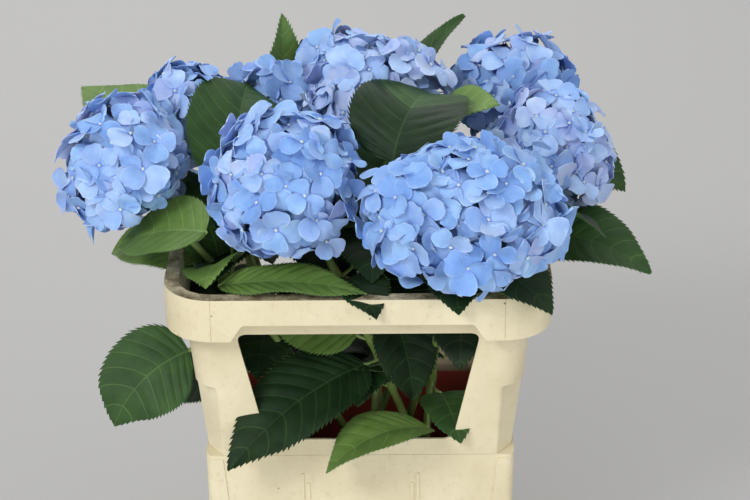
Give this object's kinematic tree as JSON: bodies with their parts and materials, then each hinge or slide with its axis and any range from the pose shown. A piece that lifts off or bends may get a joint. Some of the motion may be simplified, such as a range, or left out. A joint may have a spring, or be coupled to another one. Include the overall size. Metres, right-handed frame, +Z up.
{
  "type": "cut hydrangea stems in a two-part plastic flower bucket",
  "caption": "Cut hydrangea stems with blue mophead blooms and broad leaves, standing in a cream flower bucket with a flared, windowed collar.",
  "frame": {"origin": "middle of the bucket's underside, on the surface it stands on", "axes": "+Z up, +X to the right along the bucket's long side, +Y to the back, so the long side with the windowed collar and the leaves hanging out of it faces -Y"},
  "size_m": [0.6062, 0.4613, 0.6631],
  "materials": {
    "cream_plastic": "worn matte cream plastic with dark grime on the rim",
    "red_plastic": "dull dark red plastic",
    "cane": "smooth green cane with faint brown specks",
    "leaf": "satin green leaf with arching veins and a toothed edge",
    "petal": "soft matte light blue petal, with lilac in places"
  },
  "bodies": {
    "root": {"bucket": "cream_plastic", "collar": "cream_plastic", "liner": "red_plastic", "stem_1": "cane", "stem_2": "cane", "stem_3": "cane", "stem_4": "cane", "stem_5": "cane", "stem_6": "cane", "stem_7": "cane", "stem_8": "cane", "stem_9": "cane", "stem_10": "cane", "inner_shoot_1": "leaf", "inner_shoot_2": "leaf", "inner_shoot_3": "leaf", "inner_shoot_4": "leaf", "inner_shoot_5": "leaf", "inner_shoot_6": "leaf", "inner_shoot_7": "leaf", "inner_shoot_8": "leaf", "inner_shoot_9": "leaf", "inner_shoot_10": "leaf", "shoot_1": "leaf", "shoot_2": "leaf", "shoot_3": "leaf", "shoot_4": "leaf", "shoot_5": "leaf", "shoot_6": "leaf", "shoot_7": "leaf", "shoot_8": "leaf", "shoot_9": "leaf", "shoot_10": "leaf", "window_leaf_1": "leaf", "window_leaf_2": "leaf", "window_leaf_3": "leaf", "window_leaf_4": "leaf", "window_leaf_5": "leaf", "bloom_1": "petal", "bloom_2": "petal", "bloom_3": "petal", "bloom_4": "petal", "bloom_5": "petal", "bloom_6": "petal", "bloom_7": "petal", "bloom_8": "petal", "bloom_9": "petal", "bloom_10": "petal"}
  },
  "joints": []
}
